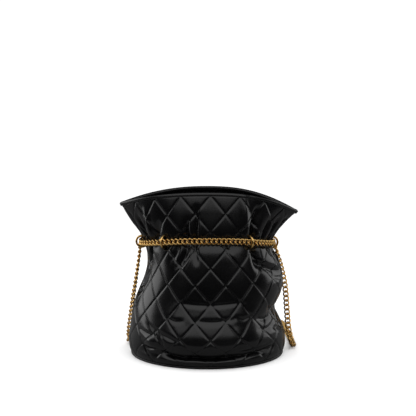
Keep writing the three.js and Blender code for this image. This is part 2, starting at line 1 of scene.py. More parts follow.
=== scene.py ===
# %% [markdown]
# # A quilted bucket bag with a chain drawstring
#
# The real bag is a soft tube of black lambskin, backed with wadding and quilted in diamonds. Its
# bottom edge is sewn to an oval base. A gold curb chain runs round the neck through six rings and
# gathers it, and the same chain leaves at the side rings as the shoulder strap. This lesson builds the
# soft and shiny outside round a fixed frame that already holds every part's place.

# %% Load the frame
import json
import math

import bmesh
import bpy
import numpy as np
from mathutils import Matrix, Vector

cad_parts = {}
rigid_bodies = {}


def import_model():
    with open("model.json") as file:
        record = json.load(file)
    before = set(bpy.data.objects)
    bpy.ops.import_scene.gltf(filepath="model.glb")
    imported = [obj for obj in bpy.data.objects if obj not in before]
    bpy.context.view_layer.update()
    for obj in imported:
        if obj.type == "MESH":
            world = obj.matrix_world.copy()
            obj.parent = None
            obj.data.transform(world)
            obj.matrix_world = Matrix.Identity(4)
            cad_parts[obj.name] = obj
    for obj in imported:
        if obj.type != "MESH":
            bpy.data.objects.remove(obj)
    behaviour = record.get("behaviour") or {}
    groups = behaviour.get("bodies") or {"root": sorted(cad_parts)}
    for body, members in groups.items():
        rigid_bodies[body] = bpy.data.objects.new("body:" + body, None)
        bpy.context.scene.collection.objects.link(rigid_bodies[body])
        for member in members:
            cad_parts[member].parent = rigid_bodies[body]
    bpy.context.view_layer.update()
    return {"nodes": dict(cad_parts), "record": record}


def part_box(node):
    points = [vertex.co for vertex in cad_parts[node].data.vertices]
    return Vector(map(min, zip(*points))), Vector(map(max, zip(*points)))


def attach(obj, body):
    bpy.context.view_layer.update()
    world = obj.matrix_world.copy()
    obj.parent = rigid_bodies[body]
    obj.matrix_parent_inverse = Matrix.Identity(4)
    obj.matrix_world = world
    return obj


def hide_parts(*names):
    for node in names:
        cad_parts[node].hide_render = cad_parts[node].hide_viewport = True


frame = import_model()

MM = 0.001

# %% [markdown]
# ## The camera
#
# A product picture is taken with a long lens from a little above, so that the base shows as a shallow
# ellipse and the sides stay straight.

# %% Camera
CAMERA_PLACE = Vector((0.0012, -1.0, 0.27))
CAMERA_TILT = 5.45  # degrees below level
LENS_MM = 72.7

camera_data = bpy.data.cameras.new("camera")
camera_data.lens = LENS_MM
camera_data.sensor_width = 36
camera = bpy.data.objects.new("camera", camera_data)
camera.location = CAMERA_PLACE
camera.rotation_euler = (math.radians(90 - CAMERA_TILT), 0, 0)
bpy.context.scene.collection.objects.link(camera)
bpy.context.scene.camera = camera
print("camera at", tuple(round(x, 3) for x in CAMERA_PLACE))

# %% [markdown]
# ## Small helpers
#
# A piece is shaped in a bmesh in millimetres, then written to an object in metres. The object stays at
# the origin, and its place is in its mesh.

# %% Helpers: from a bmesh to a piece
def finish_piece(bm, name, body="bag", smooth=True, recalculate=False):
    """Writes a bmesh in millimetres to a new object in metres that rides on a body."""
    if recalculate:
        bmesh.ops.recalc_face_normals(bm, faces=bm.faces)
    mesh = bpy.data.meshes.new(name)
    bmesh.ops.scale(bm, vec=(MM, MM, MM), verts=bm.verts)
    bm.to_mesh(mesh)
    bm.free()
    mesh.shade_smooth() if smooth else mesh.shade_flat()
    piece = bpy.data.objects.new(name, mesh)
    bpy.context.scene.collection.objects.link(piece)
    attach(piece, body)
    print(f"{name}: {len(mesh.polygons)} faces")
    return piece


def copies(template, places, name, body="bag"):
    """Puts one copy of a small bmesh at each 4 x 4 place, all in one piece."""
    bmesh.ops.triangulate(template, faces=[f for f in template.faces if len(f.verts) > 4])
    small = bpy.data.meshes.new(name + "_one")
    template.to_mesh(small)
    template.free()
    corners = np.array([v.co[:] + (1.0,) for v in small.vertices])
    loops = np.array([loop.vertex_index for loop in small.loops])
    sizes = np.array([p.loop_total for p in small.polygons])
    places = np.asarray(places)
    points = np.einsum("nij,vj->nvi", places, corners)[:, :, :3].reshape(-1, 3) * MM
    count, verts = len(places), len(corners)
    mesh = bpy.data.meshes.new(name)
    mesh.vertices.add(len(points))
    mesh.vertices.foreach_set("co", points.ravel())
    mesh.loops.add(count * len(loops))
    shift = np.repeat(np.arange(count) * verts, len(loops))
    mesh.loops.foreach_set("vertex_index", np.tile(loops, count) + shift)
    starts = np.concatenate([[0], np.cumsum(np.tile(sizes, count))[:-1]])
    mesh.polygons.add(count * len(sizes))
    mesh.polygons.foreach_set("loop_start", starts)
    mesh.update(calc_edges=True)
    mesh.validate()
    mesh.shade_smooth()
    piece = bpy.data.objects.new(name, mesh)
    bpy.context.scene.collection.objects.link(piece)
    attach(piece, body)
    bpy.data.meshes.remove(small)
    print(f"{name}: {count} copies, {len(mesh.polygons)} faces")
    return piece


# %% Helpers: smooth curves through chosen points
def smooth_line(knots, at):
    """A smooth curve through knots, rows of (t, value, ...), read at each t in at."""
    knots = np.asarray(knots, float)
    t, values = knots[:, 0], knots[:, 1:]
    slopes = np.gradient(values, t, axis=0)
    i = np.clip(np.searchsorted(t, at) - 1, 0, len(t) - 2)
    span = (t[i + 1] - t[i])[..., None]
    x = ((at - t[i])[..., None] / span).clip(0, 1)
    a, b = values[i], values[i + 1]
    da, db = slopes[i] * span, slopes[i + 1] * span
    return a + x * (da + x * (3 * (b - a) - 2 * da - db + x * (2 * (a - b) + da + db)))


def through(points, per_span=24):
    """Points close together on a smooth curve through the chosen points."""
    points = np.asarray(points, float)
    chord = np.r_[0, np.cumsum(np.linalg.norm(np.diff(points, axis=0), axis=1) ** 0.5)]
    knots = np.c_[chord, points]
    at = np.interp(
        np.linspace(0, len(points) - 1, per_span * (len(points) - 1) + 1),
        np.arange(len(points)),
        chord,
    )
    return smooth_line(knots, at)


def evenly(points, count):
    """The same line as count points at even steps."""
    along = np.r_[0, np.cumsum(np.linalg.norm(np.diff(points, axis=0), axis=1))]
    at = np.linspace(0, along[-1], count)
    return np.stack([np.interp(at, along, points[:, k]) for k in range(points.shape[1])], axis=1)


def unit(v):
    return v / np.maximum(np.linalg.norm(v, axis=-1, keepdims=True), 1e-12)


# %% Helper: a ring of wire
def wire_loop(wire, radius, sides, steps):
    """A closed ring of round wire that lies flat: a small circle spun about the middle."""
    bm = bmesh.new()
    bmesh.ops.create_circle(bm, segments=sides, radius=wire, matrix=Matrix.Rotation(math.pi / 2, 4, "X"))
    bmesh.ops.translate(bm, vec=(radius, 0, 0), verts=bm.verts)
    bmesh.ops.spin(
        bm, geom=bm.verts[:] + bm.edges[:], cent=(0, 0, 0), axis=(0, 0, 1),
        angle=2 * math.pi, steps=steps, use_merge=True,
    )
    bmesh.ops.remove_doubles(bm, verts=bm.verts, dist=1e-4)
    return bm


# %% [markdown]
# ## The curb chain
#
# A curb chain is a row of oval links. Each is twisted so that its two ends lie in the holes of its
# neighbours and the chain lies flat. One link is a ring of wire, stretched to an oval and
# twisted about its long axis. All the links are copies of it, set along a line with one flat side
# towards a chosen direction, so a link needs only a few dozen faces.

# %% One link
WIRE = 1.08  # radius
LINK_HALF_LENGTH = 3.72
LINK_HALF_WIDTH = 3.0
LINK_TWIST = math.radians(48)
LINK_PITCH = 5.45


def link_shape():
    """One twisted oval link, lying along X with its flat sides towards Z."""
    bm = wire_loop(WIRE, LINK_HALF_WIDTH, sides=6, steps=14)
    for v in bm.verts:
        turn = math.atan2(v.co.y, v.co.x)
        v.co.x += (LINK_HALF_LENGTH - LINK_HALF_WIDTH) * math.cos(turn)
        twist = LINK_TWIST * v.co.x / LINK_HALF_LENGTH
        v.co = Matrix.Rotation(twist, 3, "X") @ v.co
    bmesh.ops.recalc_face_normals(bm, faces=bm.faces)
    return bm


def chain(line, facing, name, pitch=LINK_PITCH, trim=0.5):
    """Links along a line in millimetres, with their flat sides towards facing, given at each point."""
    length = np.linalg.norm(np.diff(line, axis=0), axis=1).sum()
    count = int(round(length / pitch - 2 * trim)) + 1
    ticks = np.arange(20 * count + 1)  # 20 to a link
    both = evenly(np.c_[line, facing], len(ticks))

    def read(at):
        return np.array([np.interp(at, ticks, both[:, k]) for k in range(6)]).T
    steps = np.linspace(trim * pitch / length, 1 - trim * pitch / length, count) * ticks[-1]
    at = read(steps)
    along = unit(read(steps + 4)[:, :3] - read(steps - 4)[:, :3])
    across = unit(np.cross(at[:, 3:], along))
    flat = np.cross(along, across)
    places = np.zeros((count, 4, 4))
    places[:, :3, 0], places[:, :3, 1], places[:, :3, 2] = along, across, flat
    places[:, :3, 3], places[:, 3, 3] = at[:, :3], 1
    return copies(link_shape(), places, name)


# %% [markdown]
# ## The shoulder chain's free part
#
# The chain is limp. It leaves the left ring level, turns down under its own weight, hangs to the ground
# beside the bag, lies there in loose folds behind it, and climbs to the right ring. A chain can twist
# freely, so the side that it shows changes along the way. The route is the one that the frame's solid
# has, and the sides it shows are chosen at a few places.

# %% The strap
STRAP_POINTS = [
    (-79.9, 0.9, 134.4), (-80, 6.4, 134), (-81.1, 11.4, 127.6), (-82.8, 12.6, 114),
    (-87, 15.4, 87), (-91.3, 19.2, 62), (-94.8, 23, 38), (-97.4, 27.4, 18),
    (-98.4, 34, 6.4), (-96, 45, 3.4), (-90, 64, 3.4), (-79, 86, 3.4),
    (-60, 103, 3.4), (-32, 107, 3.4), (6, 102, 3.4), (40, 106, 3.4),
    (59, 117, 3.4), (57, 133, 3.4), (36, 141, 3.4), (-4, 137, 3.4),
    (-40, 142, 3.4), (-57, 153, 3.4), (-53, 168, 3.4), (-32, 176, 3.4),
    (10, 170, 3.4), (52, 173, 3.4), (80, 169, 3.4), (98, 153, 3.4),
    (103.6, 128, 3.4), (104.8, 96, 3.4), (106, 50, 3.4), (106, 16, 4),
    (103, 2.6, 10.4), (99, 1.4, 27), (97, 4.4, 50), (94.8, 8, 79),
    (89.6, 11.4, 105), (83.6, 12, 124), (80.2, 6.4, 133), (79.9, 0.9, 133.4),
]
# Which way the chain's flat side faces: (number of the route's point, x, y, z).
STRAP_FACES = [
    (0, -1, 0, 0.1), (2, -1, 0.1, 0.3), (4, -0.95, -0.3, 0), (6, -0.8, -0.6, 0),
    (7, -0.6, -0.8, 0.3), (9, 0, -0.2, 1), (12, 0, 0, 1), (30, 0, 0, 1), (31, 0, -0.5, 0.9),
    (32, 0.15, -1, 0.2), (34, 0.2, -1, 0), (35, 0.35, -0.95, 0), (36, 0.8, -0.6, 0),
    (37, 1, -0.2, 0.1), (39, 1, 0, 0.1),
]

strap_line = through(STRAP_POINTS)
strap_steps = np.linspace(0, len(STRAP_POINTS) - 1, len(strap_line))
strap_faces = unit(smooth_line(STRAP_FACES, strap_steps))
strap = chain(strap_line, strap_faces, "shoulder_chain")
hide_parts("strap_chain")
print("strap route:", round(np.linalg.norm(np.diff(strap_line, axis=0), axis=1).sum()), "mm")

# %% [markdown]
# ## The shape of the soft wall
#
# The wall is cut as two flat panels. A place on it is given as on the cut leather: `across`, in
# millimetres from the middle of its panel, and `up`, in millimetres from the hem. Four profiles say how
# the wall stands at the front, the right, the back and the left, as (up, distance out, height). Between
# them it follows an oval that turns into a pointed lens at the mouth.

# %% Profiles of the wall
PANEL_WIDTH = 278.5
PANEL_HEIGHT = 206.0
NECK_UP = 153.0
FRONT, BACK = -1, 1

FRONT_PROFILE = [
    (0, 78.4, 2.8), (8, 82.2, 8.4), (15, 79.5, 13.2), (23.5, 83.2, 18.9), (33, 87, 25.5),
    (43.5, 86.2, 33.8), (63.5, 79.2, 52.2), (83.5, 71.8, 72.2), (103.5, 68.2, 92.4),
    (123.5, 64, 111.8), (140, 60, 128), (153, 54.6, 142.4), (163.5, 54.4, 152.5),
    (183.5, 50.5, 172.4), (206, 44.4, 195.2),
]
BACK_PROFILE = [
    (0, 78.4, 2.8), (8, 82.6, 9.4), (15, 84, 16.4), (23.5, 82.5, 24), (33, 83.4, 32.5),
    (43.5, 82.5, 42.4), (63.5, 78.4, 61), (83.5, 72.4, 79), (103.5, 68.5, 97.5),
    (123.5, 65, 115.5), (140, 60, 130), (153, 54.6, 142.4), (163.5, 54.4, 152.5),
    (183.5, 50.5, 172), (206, 45, 196.4),
]
LEFT_PROFILE = [
    (0, 90.4, 2.8), (8, 93, 10.2), (15, 93.8, 17.4), (23.5, 93, 25.8), (33, 91.4, 34.6),
    (43.5, 90.2, 44), (63.5, 87, 61.5), (83.5, 81, 78), (103.5, 74, 94.5),
    (123.5, 70.6, 111), (140, 71.6, 123.5), (153, 74.6, 134.4), (163.5, 78.6, 144),
    (183.5, 90.5, 160.5), (206, 103, 180),
]
RIGHT_PROFILE = [
    (0, 90.4, 2.8), (8, 92.8, 10.2), (15, 93.4, 17.6), (23.5, 92.8, 26.2), (33, 89.6, 35.6),
    (43.5, 85, 46), (53, 80.6, 54.5), (58, 79.4, 58.8), (64, 82, 63), (73.5, 86.4, 71),
    (83.5, 89.4, 80.5), (103.5, 89.4, 98.5), (123.5, 84, 115.5), (140, 78, 126.5),
    (153, 76, 133.6), (163.5, 80.4, 142.4), (183.5, 93, 158), (206, 107.5, 170.4),
]
CORNER_SHARPNESS = [(0, 0), (150, 0), (175, 0.3), (206, 0.85)]
FINE_TURNS = np.linspace(0, 1, 361)


def ease(x):
    x = np.clip(x, 0, 1)
    return x * x * (3 - 2 * x)


def oval(up, turn):
    """The bare wall in millimetres. turn is the angle round the oval: 0 right, 90 back, 180 left."""
    front, back = smooth_line(FRONT_PROFILE, up), smooth_line(BACK_PROFILE, up)
    left, right = smooth_line(LEFT_PROFILE, up), smooth_line(RIGHT_PROFILE, up)
    cos, sin = np.cos(turn), np.sin(turn)
    to_right, to_back = ease((cos + 1) / 2)[..., None], ease((sin + 1) / 2)[..., None]
    side = left + (right - left) * to_right
    face = front + (back - front) * to_back
    share = np.abs(cos) ** 2.4
    sharp = smooth_line(CORNER_SHARPNESS, up)[..., 0].clip(0)
    return np.stack([
        side[..., 0] * cos,
        face[..., 0] * sin * np.abs(sin) ** sharp,
        side[..., 1] * share + face[..., 1] * (1 - share),
    ], axis=-1)


# %% [markdown]
# A panel keeps its full width all the way up, but the neck is much narrower. So near the neck the
# leather is pushed together. At the middle of a panel it stays as wide as it was cut, and towards the
# side seams it crowds into folds. This table turns a place across the panel into an angle round the oval.

# %% From the cut panel to the angle round the bag
ROWS = np.linspace(0, PANEL_HEIGHT, 207)


def turn_table(side):
    """For each row: the angle at each of FINE_TURNS across the panel of that side."""
    middle = 1.5 * math.pi if side == FRONT else 0.5 * math.pi
    share = 2 * FINE_TURNS - 1
    made = []
    for up in ROWS:
        row = np.zeros_like(share)
        for half in (-1, 1):
            turns = middle + half * math.pi / 2 * FINE_TURNS
            line = oval(np.full_like(turns, up), turns)[:, :2]
            along = np.r_[0, np.cumsum(np.linalg.norm(np.diff(line, axis=0), axis=1))]
            crowd = PANEL_WIDTH / 2 / along[-1] - 1
            reach = np.abs(share)
            placed = (1 + crowd) * reach / (1 + crowd * reach**2)
            mine = share * half >= 0
            row[mine] = np.interp(placed[mine] * along[-1], along, turns)
        made.append(row)
    return np.array(made)


TURNS = {side: turn_table(side) for side in (FRONT, BACK)}


def read_table(table, row, column):
    """Reads a table smoothly at fractional rows and columns."""
    row = np.clip(row, 0, table.shape[0] - 1.001)
    column = np.clip(column, 0, table.shape[1] - 1.001)
    r, c = row.astype(int), column.astype(int)
    x, y = row - r, column - c
    return (
        table[r, c] * (1 - x) * (1 - y) + table[r + 1, c] * x * (1 - y)
        + table[r, c + 1] * (1 - x) * y + table[r + 1, c + 1] * x * y
    )


def turn_at(side, across, up):
    row = up / PANEL_HEIGHT * (len(ROWS) - 1)
    column = (across / PANEL_WIDTH + 0.5) * (len(FINE_TURNS) - 1)
    return read_table(TURNS[side], row, column)


print("turn tables:", TURNS[FRONT].shape)

# %% [markdown]
# ## Folds and creases
#
# Soft leather that is pushed together makes folds: deep ones under and over the chain, a long crease
# where the wall slumps on its base, and small crumples at the sides. Each is a stroke, as a sculptor
# would press one into clay: a line of places on the cut panel, a width, and a depth inwards. A minus
# depth raises a ridge. Both ends of a stroke fade out.

# %% Strokes
FRONT_STROKES = [
    # gathers under the chain
    (4.6, 4.6, [(-22, 158), (-23, 146), (-27, 135), (-33, 124)]),
    (3.8, 3.2, [(-13, 157), (-14, 147), (-13, 139), (-12, 130)]),
    (3.8, 2.2, [(-33, 157), (-34, 147), (-38, 138), (-44, 130)]),
    (6.0, 9.0, [(61, 160), (62, 146), (64, 132), (66, 120)]),
    (5.0, 6.0, [(-86, 160), (-87, 146), (-90, 134), (-94, 122)]),
    (4.6, 5.0, [(-108, 159), (-109, 146), (-113, 134)]),
    (4.4, 4.0, [(-126, 159), (-127, 146), (-130, 136)]),
    (5.0, 6.0, [(94, 160), (95, 147), (99, 137)]),
    (4.5, 5.0, [(116, 159), (117, 147), (121, 137)]),
    (3.6, 2.4, [(24, 157), (25, 149), (28, 142)]),
    # gathers over the chain
    (3.6, 4.5, [(-23, 149), (-24, 162), (-23, 176)]),
    (3.4, 3.8, [(-13, 149), (-13, 162), (-12, 176), (-12, 190)]),
    (5.0, 4.0, [(-72, 149), (-68, 162), (-62, 174)]),
    (5.0, 5.5, [(-94, 149), (-98, 166), (-104, 186)]),
    (4.5, 5.0, [(-116, 149), (-120, 168), (-124, 188)]),
    (5.0, 8.0, [(59, 149), (59, 163), (61, 177), (64, 192)]),
    (4.0, 4.5, [(79, 149), (82, 165), (88, 182)]),
    (5.0, 6.5, [(99, 149), (102, 166), (108, 186)]),
    (4.5, 5.0, [(119, 149), (122, 170), (126, 190)]),
    (5.0, -3.0, [(48, 154), (47, 172), (45, 190), (43, 206)]),
    (4.0, -2.5, [(-82, 154), (-81, 172), (-84, 192)]),
    # the fold that runs from the right gather down to the side
    (5.0, 6.5, [(63, 126), (76, 119), (94, 112), (112, 107)]),
    (3.6, 2.6, [(84, 108), (98, 102), (114, 99)]),
    # crumples at the left side
    (4.0, 3.6, [(-92, 114), (-104, 104), (-118, 97)]),
    (3.4, 2.8, [(-96, 101), (-109, 93), (-123, 88)]),
    (3.2, 2.2, [(-102, 88), (-114, 82), (-126, 80)]),
    # level wrinkles across the middle
    (3.0, 1.1, [(-34, 84), (0, 82.5), (44, 84)]),
    (3.2, 1.5, [(-14, 66), (6, 64.5), (30, 66)]),
    (2.8, 1.5, [(34, 68), (44, 64), (54, 66)]),
    (2.8, 1.2, [(-48, 66), (-38, 63), (-28, 65)]),
    # the crease where the wall slumps on its base
    (3.6, 4.0, [(-56, 21), (-38, 15), (-20, 13.5), (-14, 16)]),
    (3.6, 5.0, [(-18, 15), (8, 13.5), (36, 15.5)]),
    (3.2, 3.6, [(30, 17), (56, 16), (88, 20)]),
    (2.6, 1.8, [(36, 24), (58, 23), (80, 26)]),
    # crumples low on the left
    (3.4, 2.0, [(-78, 52), (-62, 47), (-46, 43), (-34, 40)]),
    (3.2, 1.7, [(-60, 44), (-55, 36), (-52, 26)]),
    (6.0, -2.2, [(-76, 31), (-64, 30)]),
    (2.6, 1.8, [(-90, 41), (-76, 39), (-62, 41)]),
    (2.6, 2.0, [(-84, 22), (-72, 20), (-58, 23)]),
    # crumples low on the right
    (3.0, 2.4, [(64, 60), (76, 54), (92, 52)]),
    (2.8, 2.0, [(66, 46), (82, 42), (102, 45)]),
    (3.0, 2.4, [(84, 68), (98, 62), (112, 62)]),
    (2.6, 1.8, [(92, 40), (106, 36), (122, 39)]),
]
BACK_STROKES = [
    (6.0, 10.0, [(-52, 160), (-53, 146), (-56, 131), (-60, 118)]),
    (5.0, 7.0, [(-72, 160), (-73, 146), (-77, 132)]),
    (5.5, 8.0, [(-96, 160), (-97, 146), (-101, 131)]),
    (4.5, 6.0, [(-118, 159), (-119, 146), (-123, 134)]),
    (4.5, 6.0, [(-24, 158), (-24, 146), (-22, 134)]),
    (4.0, 4.5, [(-8, 158), (-7, 147), (-4, 137)]),
    (5.0, 7.0, [(18, 158), (19, 146), (22, 132), (26, 121)]),
    (5.5, 9.0, [(64, 160), (65, 146), (68, 131)]),
    (5.0, 7.0, [(86, 160), (87, 146), (92, 133)]),
    (5.0, 7.0, [(107, 159), (109, 146), (113, 133)]),
    (4.5, 5.0, [(126, 159), (127, 147), (130, 136)]),
    (5.0, 7.0, [(-52, 149), (-53, 164), (-57, 182)]),
    (4.5, 6.0, [(-75, 149), (-77, 166), (-81, 186)]),
    (5.5, 7.0, [(-98, 149), (-100, 166), (-106, 188)]),
    (4.5, 6.0, [(-119, 149), (-121, 168), (-125, 190)]),
    (4.5, 5.0, [(-22, 149), (-22, 162), (-24, 176)]),
    (4.5, 5.5, [(19, 149), (19, 164), (17, 182)]),
    (5.0, 7.0, [(64, 149), (65, 165), (69, 184)]),
    (5.0, 6.5, [(88, 149), (89, 166), (94, 186)]),
    (5.0, 6.5, [(110, 149), (112, 168), (117, 190)]),
    (5.0, -2.5, [(-38, 154), (-38, 172), (-40, 198)]),
    (5.0, 4.5, [(-110, 112), (-92, 104), (-72, 101)]),
    (4.0, 3.5, [(80, 110), (98, 102), (118, 98)]),
    (3.5, 2.6, [(-40, 88), (-12, 86), (24, 88)]),
    (3.0, 2.4, [(10, 68), (30, 65), (56, 68)]),
    (3.0, 2.4, [(-70, 62), (-50, 58), (-30, 60)]),
    (4.0, 3.6, [(-80, 22), (-40, 17), (0, 19), (34, 17)]),
    (4.0, 4.0, [(20, 20), (60, 16), (100, 20)]),
    (3.0, 2.8, [(60, 48), (76, 42), (96, 42)]),
    (3.0, 2.8, [(-100, 52), (-84, 46), (-66, 44)]),
]
STROKES = {FRONT: FRONT_STROKES, BACK: BACK_STROKES}
STROKE_POINTS = 52


def stroke_depth(side, across, up):
    """How far the strokes press the wall inwards at each place."""
    total = np.zeros_like(across)
    for width, depth, line in STROKES[side]:
        points = evenly(through(line, 8), STROKE_POINTS)
        reach = 2.6 * width
        low, high = points.min(0) - reach, points.max(0) + reach
        near = (across > low[0]) & (across < high[0]) & (up > low[1]) & (up < high[1])
        if not near.any():
            continue
        spots = np.stack([across[near], up[near]], axis=1)
        gaps = np.linalg.norm(spots[:, None] - points[None], axis=2)
        fade = np.sin(np.pi * np.linspace(0.06, 0.94, STROKE_POINTS)) ** 0.8
        total[near] += depth * (np.exp(-((gaps / width) ** 2)) * fade).max(axis=1)
    return total


# %% [markdown]
# ## The quilting
#
# Two families of stitch lines cross at a slant and leave diamonds. Along a line the leather is held
# down to the wadding, and between lines it puffs up. `quilt` gives the two distances to the nearest
# lines, and `puff` turns them into a height: steep beside a seam and round in the middle.

# %% Quilting
DIAMOND_WIDTH = PANEL_WIDTH / 8
DIAMOND_HEIGHT = 40.0
DIAMOND_AT = (4.0, 3.5)  # one crossing, across and up, on the front panel
LINE_GAP = 1 / math.hypot(1 / DIAMOND_WIDTH, 1 / DIAMOND_HEIGHT)
GROOVE_DEPTH = 0.8
GROOVE_REACH = 0.8
DOME = 0.3


def quilt(side, across, up):
    """The distances in millimetres to the nearest stitch line of each family."""
    shift = 0 if side == FRONT else PANEL_WIDTH
    x = (across + shift - DIAMOND_AT[0]) / DIAMOND_WIDTH
    y = (up - DIAMOND_AT[1]) / DIAMOND_HEIGHT
    first, second = x + y, x - y
    return (
        np.abs(first - np.round(first)) * LINE_GAP,
        np.abs(second - np.round(second)) * LINE_GAP,
    )


def puff(side, across, up):
    near = quilt(side, across, up)
    edge = np.minimum(up, PANEL_HEIGHT - 1.5 - up)
    seam = PANEL_WIDTH / 2 - np.abs(across)
    groove, dome = 1.0, 1.0
    for d in (*near, edge.clip(0, LINE_GAP / 2), seam.clip(0, LINE_GAP / 2)):
        groove = groove * (1 - np.exp(-((d / GROOVE_REACH) ** 1.3)))
        dome = dome * np.sin(np.pi * (d / LINE_GAP).clip(0, 0.5)) ** 0.7
    return GROOVE_DEPTH * groove + DOME * dome


# %% The whole wall
def outward(side, across, up, point_of, step=1.2):
    """The wall's outward direction, from points close by."""
    right = point_of(side, across + step, up) - point_of(side, across - step, up)
    rise = point_of(side, across, up + step) - point_of(side, across, up - step)
    return unit(np.cross(right, rise))


def folded(side, across, up, folds=1.0):
    """A point of the wall with its folds, before quilting."""
    turn = turn_at(side, across, up)
    point = oval(up, turn)
    out = unit(np.stack([np.cos(turn), np.sin(turn), np.zeros_like(turn)], axis=-1))
    return point - out * (folds * stroke_depth(side, across, up))[..., None]


def wall(side, across, up, inset=0.0, quilted=True, folds=1.0):
    """A finished point of the wall, set in by inset."""
    def point_of(side, across, up):
        return folded(side, across, up, folds)
    normal = outward(side, across, up, point_of)
    height = puff(side, across, up) if quilted else 0 * across
    return folded(side, across, up, folds) + normal * (height - inset)[..., None]


# %% [markdown]
# ## The panels
#
# Each panel is a fine flat grid, cut out of flat stock as the leather is. A slit is cut at each ring,
# because the ring passes through the leather there. Then every corner of the grid moves to its place on
# the wall, and the sheet gets its thickness inwards.

# %% Grids that follow a rule
def sheet(columns, rows, place, weld=False):
    """A grid of quads. place gets two arrays from 0 to 1 and gives the points in millimetres."""
    bm = bmesh.new()
    bmesh.ops.create_grid(bm, x_segments=columns, y_segments=rows, size=0.5)
    flat = np.array([v.co[:2] for v in bm.verts]) + 0.5
    for v, point in zip(bm.verts, place(flat[:, 0], flat[:, 1])):
        v.co = point
    if weld:
        bmesh.ops.remove_doubles(bm, verts=bm.verts, dist=1e-3)
    return bm


def thicken(piece, thickness):
    """Gives a sheet its thickness, inwards, with a solidify modifier."""
    solid = piece.modifiers.new("thickness", "SOLIDIFY")
    solid.thickness = thickness * MM
    solid.offset = -1
    return piece


# %% Where the rings pass through
RING_TURNS = {
    "ring_right": 0.0, "ring_back_right": 59.18, "ring_back_left": 120.82,
    "ring_left": 180.0, "ring_front_left": 239.18, "ring_front_right": 300.82,
}
NECK_SIDE, NECK_FACE = 75.3, 54.6
SLIT = (2.7, 8.8)


def across_of(side, degrees):
    """The place across a panel at the neck whose outward direction is degrees."""
    tries = np.linspace(-PANEL_WIDTH / 2, PANEL_WIDTH / 2, 2001)
    turn = turn_at(side, tries, np.full_like(tries, NECK_UP))
    facing = np.degrees(np.arctan2(np.sin(turn) / NECK_FACE, np.cos(turn) / NECK_SIDE)) % 360
    return tries[np.argmin(np.abs((facing - degrees + 180) % 360 - 180))]


SLITS = {
    FRONT: [across_of(FRONT, d) for d in (239.18, 300.82)],
    BACK: [across_of(BACK, d) for d in (59.18, 120.82)],
}
print("slits at", {k: [round(x, 1) for x in v] for k, v in SLITS.items()})

# %% A quilted panel
GRID_STEP = 0.85
THICKNESS = 1.4


def quilted_panel(side, name):
    bm = bmesh.new()
    bmesh.ops.create_grid(
        bm, x_segments=round(PANEL_WIDTH / GRID_STEP), y_segments=round(PANEL_HEIGHT / GRID_STEP),
        size=0.5,
    )
    bmesh.ops.scale(bm, vec=(PANEL_WIDTH, PANEL_HEIGHT, 1), verts=bm.verts)
    bmesh.ops.translate(bm, vec=(0, PANEL_HEIGHT / 2, 0), verts=bm.verts)
    half, tall = SLIT
    holes = []
    for face in bm.faces:
        spot = face.calc_center_median()
        near_ring = min(abs(spot.x - x) for x in [*SLITS[side], -PANEL_WIDTH / 2, PANEL_WIDTH / 2])
        if near_ring < half and abs(spot.y - NECK_UP) < tall:
            holes.append(face)
    bmesh.ops.delete(bm, geom=holes, context="FACES")
    flat = np.array([v.co[:2] for v in bm.verts])
    for v, point in zip(bm.verts, wall(side, flat[:, 0], flat[:, 1])):
        v.co = point
    return thicken(finish_piece(bm, name), THICKNESS)


front_panel = quilted_panel(FRONT, "quilted_front")
back_panel = quilted_panel(BACK, "quilted_back")
for panel, side in ((front_panel, "front"), (back_panel, "back")):
    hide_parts(f"panel_{side}", f"wadding_{side}")

# %% [markdown]
# ## The stitches
#
# A quilting machine leaves a row of short stitches at the bottom of each groove. Each is a small
# capsule of thread that lies along its line and is half sunk in the leather.

# %% Stitches
STITCH_PITCH = 2.9
STITCH_HALF_LENGTH = 1.05
THREAD = 0.28  # radius
STITCH_LIFT = 0.08  # of the thread's middle, above the groove
CLEAR_OF_EDGE, CLEAR_OF_TOP, CLEAR_OF_SLIT = 1.5, 4, (4, 10)


def stitch_shape():
    bm = bmesh.new()
    bmesh.ops.create_uvsphere(bm, u_segments=6, v_segments=4, radius=1)
    bmesh.ops.rotate(bm, cent=(0, 0, 0), matrix=Matrix.Rotation(math.pi / 2, 3, "Y"), verts=bm.verts)
    bmesh.ops.scale(bm, vec=(STITCH_HALF_LENGTH, THREAD, THREAD), verts=bm.verts)
    return bm


